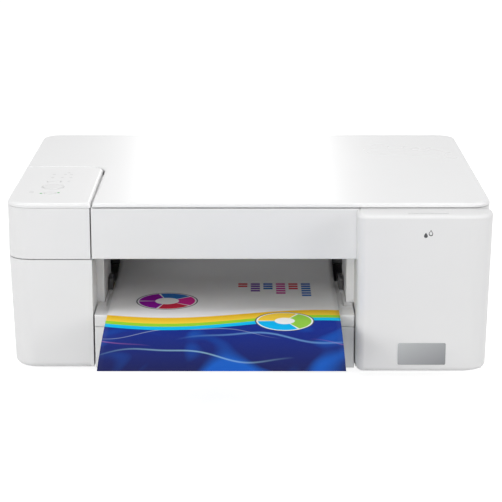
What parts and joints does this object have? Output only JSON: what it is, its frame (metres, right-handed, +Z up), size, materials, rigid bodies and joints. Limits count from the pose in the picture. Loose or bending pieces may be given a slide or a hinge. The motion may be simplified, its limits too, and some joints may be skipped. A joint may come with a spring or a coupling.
{
  "type": "inkjet printer",
  "caption": "Low inkjet printer with a flatbed scanner lid, an ink cover at the right front and a paper tray under the output mouth.",
  "frame": {"origin": "middle of the footprint, on the surface that the feet stand on", "axes": "+X to the right seen from the front, +Y towards the back, +Z up"},
  "size_m": [0.435, 0.4551, 0.1593],
  "materials": {
    "casing_white": "fine satin moulding",
    "lid_white": "smooth, slightly glossy",
    "inner_grey": "matt moulded",
    "inner_dark": "matt moulded",
    "gear_plastic": "smooth acetal",
    "steel": "rolled sheet and ground bar",
    "motor_metal": "zinc plated can",
    "rubber_black": "matt rubber",
    "rubber_grey": "matt rubber",
    "glass_clear": "float glass",
    "board_green": "solder mask",
    "paper": "plain paper, printed",
    "foam_white": "white foam pad",
    "film_clear": "clear film with fine lines",
    "ink_black": "cartridge shell",
    "ink_yellow": "cartridge shell",
    "ink_cyan": "cartridge shell",
    "ink_magenta": "cartridge shell",
    "button_white": "satin key cap"
  },
  "bodies": {
    "base": {"lower_casing": "casing_white", "rubber_feet": "rubber_black", "middle_cover": "inner_grey", "casing_screws": "steel", "ac_inlet": "inner_dark", "print_frame": "steel", "feed_motor": "motor_metal", "guide_rail_front": "steel", "guide_rail_rear": "steel", "encoder_strip": "film_clear", "platen": "inner_dark", "carriage_belt": "rubber_black", "carriage_motor": "motor_metal", "maintenance_station": "inner_dark", "waste_ink_box": "inner_dark", "main_board": "board_green", "power_supply": "inner_dark", "ink_holder": "inner_grey", "ink_cartridge_black": "ink_black", "ink_cartridge_yellow": "ink_yellow", "ink_cartridge_cyan": "ink_cyan", "ink_cartridge_magenta": "ink_magenta"},
    "scanner_unit": {"scanner_base": "casing_white", "front_panel": "casing_white", "control_panel": "lid_white", "glass_frame": "inner_grey", "scanner_glass": "glass_clear", "scan_rod": "steel", "scan_motor": "motor_metal", "control_board": "board_green", "hinge_pins": "steel"},
    "lid": {"lid": "lid_white", "lid_liner": "foam_white"},
    "ink_cover": {"ink_cover": "casing_white"},
    "paper_tray": {"paper_tray": "casing_white", "tray_cover": "casing_white"},
    "printed_sheet": {"printed_sheet": "paper"},
    "width_guide_left": {"width_guide_left": "inner_grey"},
    "width_guide_right": {"width_guide_right": "inner_grey"},
    "guide_pinion": {"guide_pinion": "gear_plastic"},
    "length_guide": {"length_guide": "inner_grey"},
    "print_carriage": {"print_carriage": "inner_dark", "print_head": "motor_metal"},
    "drive_pulley": {"drive_pulley": "gear_plastic"},
    "idler_pulley": {"idler_pulley": "gear_plastic"},
    "feed_roller": {"main_feed_roller": "steel", "feed_gear": "gear_plastic"},
    "exit_roller": {"exit_roller": "rubber_grey"},
    "idler_gear": {"idler_gear": "gear_plastic"},
    "motor_pinion": {"motor_pinion": "gear_plastic"},
    "star_wheels": {"star_wheels": "steel"},
    "pinch_rollers": {"pinch_rollers": "rubber_grey"},
    "pickup_arm": {"pickup_arm": "inner_dark"},
    "pickup_roller": {"pickup_roller": "rubber_grey"},
    "head_cap": {"head_cap": "rubber_grey"},
    "jam_clear_cover": {"jam_clear_cover": "inner_grey"},
    "scan_carriage": {"scan_carriage": "inner_dark"},
    "start_button": {"start_button": "button_white"},
    "power_button": {"power_button": "button_white"},
    "mode_button": {"mode_button": "button_white"}
  },
  "joints": [
    {"name": "scanner_lift", "type": "hinge", "parent": "base", "child": "scanner_unit", "pos_m": [0, 0.2235, 0.107], "axis": [-1, 0, 0], "range_deg": [0, 30]},
    {"name": "lid_hinge", "type": "hinge", "parent": "scanner_unit", "child": "lid", "pos_m": [0, 0.2251, 0.1542], "axis": [-1, 0, 0], "range_deg": [0, 75]},
    {"name": "ink_cover_hinge", "type": "hinge", "parent": "base", "child": "ink_cover", "pos_m": [0, -0.1215, 0.012], "axis": [1, 0, 0], "range_deg": [0, 80]},
    {"name": "tray_slide", "type": "slide", "parent": "base", "child": "paper_tray", "axis": [0, -1, 0], "range_m": [0, 0.25]},
    {"name": "sheet_slide", "type": "slide", "parent": "paper_tray", "child": "printed_sheet", "axis": [0, -1, 0], "range_m": [0, 0.17]},
    {"name": "width_guide_left_slide", "type": "slide", "parent": "paper_tray", "child": "width_guide_left", "axis": [1, 0, 0], "range_m": [0, 0.055]},
    {"name": "width_guide_right_slide", "type": "slide", "parent": "paper_tray", "child": "width_guide_right", "axis": [-1, 0, 0], "range_m": [0, 0.055]},
    {"name": "guide_pinion_turn", "type": "hinge", "parent": "paper_tray", "child": "guide_pinion", "pos_m": [-0.0228, 0.0755, 0.013], "axis": [0, 0, 1], "range_deg": [-400, 0]},
    {"name": "length_guide_slide", "type": "slide", "parent": "paper_tray", "child": "length_guide", "axis": [0, 1, 0], "range_m": [0, 0.1]},
    {"name": "carriage_slide", "type": "slide", "parent": "base", "child": "print_carriage", "axis": [-1, 0, 0], "range_m": [0, 0.28]},
    {"name": "drive_pulley_turn", "type": "hinge", "parent": "base", "child": "drive_pulley", "pos_m": [-0.175, 0.1755, 0.093], "axis": [0, 0, 1], "range_deg": [-2100, 0]},
    {"name": "idler_pulley_turn", "type": "hinge", "parent": "base", "child": "idler_pulley", "pos_m": [0.188, 0.1755, 0.093], "axis": [0, 0, 1], "range_deg": [-2100, 0]},
    {"name": "feed_roller_turn", "type": "hinge", "parent": "base", "child": "feed_roller", "pos_m": [0, 0.1315, 0.0644], "axis": [1, 0, 0], "continuous": true},
    {"name": "exit_roller_turn", "type": "hinge", "parent": "base", "child": "exit_roller", "pos_m": [0, 0.0695, 0.061], "axis": [1, 0, 0], "continuous": true},
    {"name": "idler_gear_turn", "type": "hinge", "parent": "base", "child": "idler_gear", "pos_m": [-0.1997, 0.09572, 0.05717], "axis": [1, 0, 0], "continuous": true},
    {"name": "motor_pinion_turn", "type": "hinge", "parent": "base", "child": "motor_pinion", "pos_m": [-0.1997, 0.1445, 0.04188], "axis": [1, 0, 0], "continuous": true},
    {"name": "star_wheels_turn", "type": "hinge", "parent": "base", "child": "star_wheels", "pos_m": [0, 0.0695, 0.0724], "axis": [1, 0, 0], "continuous": true},
    {"name": "pinch_rollers_turn", "type": "hinge", "parent": "base", "child": "pinch_rollers", "pos_m": [0, 0.1315, 0.0746], "axis": [1, 0, 0], "continuous": true},
    {"name": "pickup_arm_hinge", "type": "hinge", "parent": "base", "child": "pickup_arm", "pos_m": [-0.023, 0.1305, 0.052], "axis": [-1, 0, 0], "range_deg": [0, 36]},
    {"name": "pickup_roller_turn", "type": "hinge", "parent": "pickup_arm", "child": "pickup_roller", "pos_m": [-0.023, 0.1805, 0.052], "axis": [1, 0, 0], "continuous": true},
    {"name": "head_cap_slide", "type": "slide", "parent": "base", "child": "head_cap", "axis": [0, 0, -1], "range_m": [0, 0.005], "stiffness_N_per_m": 2000},
    {"name": "jam_cover_hinge", "type": "hinge", "parent": "base", "child": "jam_clear_cover", "pos_m": [-0.02, 0.22625, 0.02625], "axis": [-1, 0, 0], "range_deg": [0, 75]},
    {"name": "scan_slide", "type": "slide", "parent": "scanner_unit", "child": "scan_carriage", "axis": [1, 0, 0], "range_m": [0, 0.285]},
    {"name": "start_press", "type": "slide", "parent": "scanner_unit", "child": "start_button", "axis": [0, 0, -1], "range_m": [0, 0.0008], "stiffness_N_per_m": 600},
    {"name": "power_press", "type": "slide", "parent": "scanner_unit", "child": "power_button", "axis": [0, 0, -1], "range_m": [0, 0.0008], "stiffness_N_per_m": 600},
    {"name": "mode_press", "type": "slide", "parent": "scanner_unit", "child": "mode_button", "axis": [0, 0, -1], "range_m": [0, 0.0008], "stiffness_N_per_m": 600}
  ],
  "couplings": [
    {"joint": "width_guide_right_slide", "follows": "width_guide_left_slide", "ratio": 1},
    {"joint": "guide_pinion_turn", "follows": "width_guide_left_slide", "rad_per_m": -125},
    {"joint": "drive_pulley_turn", "follows": "carriage_slide", "rad_per_m": -126.58},
    {"joint": "idler_pulley_turn", "follows": "carriage_slide", "rad_per_m": -126.58},
    {"joint": "exit_roller_turn", "follows": "feed_roller_turn", "ratio": 2},
    {"joint": "idler_gear_turn", "follows": "feed_roller_turn", "ratio": -1.2121},
    {"joint": "motor_pinion_turn", "follows": "feed_roller_turn", "ratio": -3.3333},
    {"joint": "star_wheels_turn", "follows": "feed_roller_turn", "ratio": -1.6296},
    {"joint": "pinch_rollers_turn", "follows": "feed_roller_turn", "ratio": -1.6667}
  ]
}
